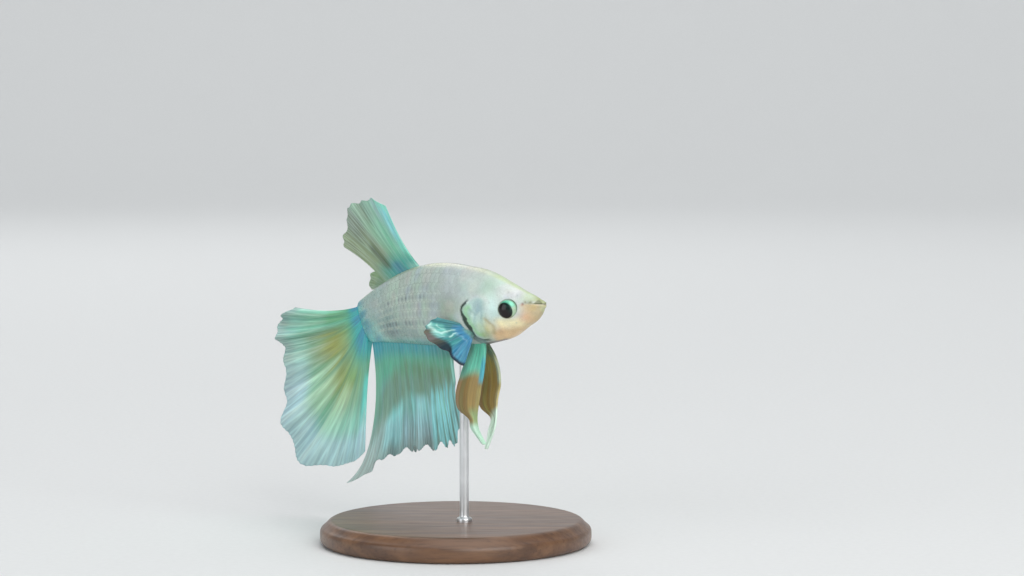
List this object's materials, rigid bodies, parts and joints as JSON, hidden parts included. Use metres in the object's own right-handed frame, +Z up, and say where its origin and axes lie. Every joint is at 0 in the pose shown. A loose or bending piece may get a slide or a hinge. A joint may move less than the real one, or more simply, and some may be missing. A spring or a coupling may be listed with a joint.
{
  "type": "betta fish",
  "caption": "Life-size still model of a young male betta fish with long blue-green fins, on a round wooden base with a slim steel rod.",
  "frame": {"origin": "the middle of the underside of the stand's round base", "axes": "+Z up, square to the base; the fish looks towards +X with its head turned to -Y, and its tail trails towards -X and +Y"},
  "size_m": [0.0543, 0.056, 0.0555],
  "materials": {
    "flank_skin": "pale blue-grey scaled skin, satin wet sheen",
    "face_skin": "pale peach skin, satin wet sheen",
    "eye": "wet black pupil in a turquoise iris",
    "fin_blue": "thin translucent fin membrane, turquoise at the root, pale blue-white at the rays' tips",
    "fin_breast": "thin translucent fin membrane, bright blue",
    "fin_belly": "thin membrane, orange-brown with a turquoise root and a white tip",
    "stand_wood": "dark walnut, satin",
    "stand_steel": "fine brushed steel"
  },
  "bodies": {
    "root": {"head": "face_skin", "lower_jaw": "face_skin", "gill_cover_right": "flank_skin", "gill_cover_left": "flank_skin", "eye_right": "eye", "eye_left": "eye", "trunk_front": "flank_skin", "trunk_rear": "flank_skin", "tail_stem": "flank_skin", "fin_caudal": "fin_blue", "fin_anal": "fin_blue", "fin_dorsal": "fin_blue", "fin_pectoral_right": "fin_breast", "fin_pectoral_left": "fin_breast", "fin_pelvic_right": "fin_belly", "fin_pelvic_left": "fin_belly", "stand_base": "stand_wood", "stand_rod": "stand_steel"}
  },
  "joints": []
}
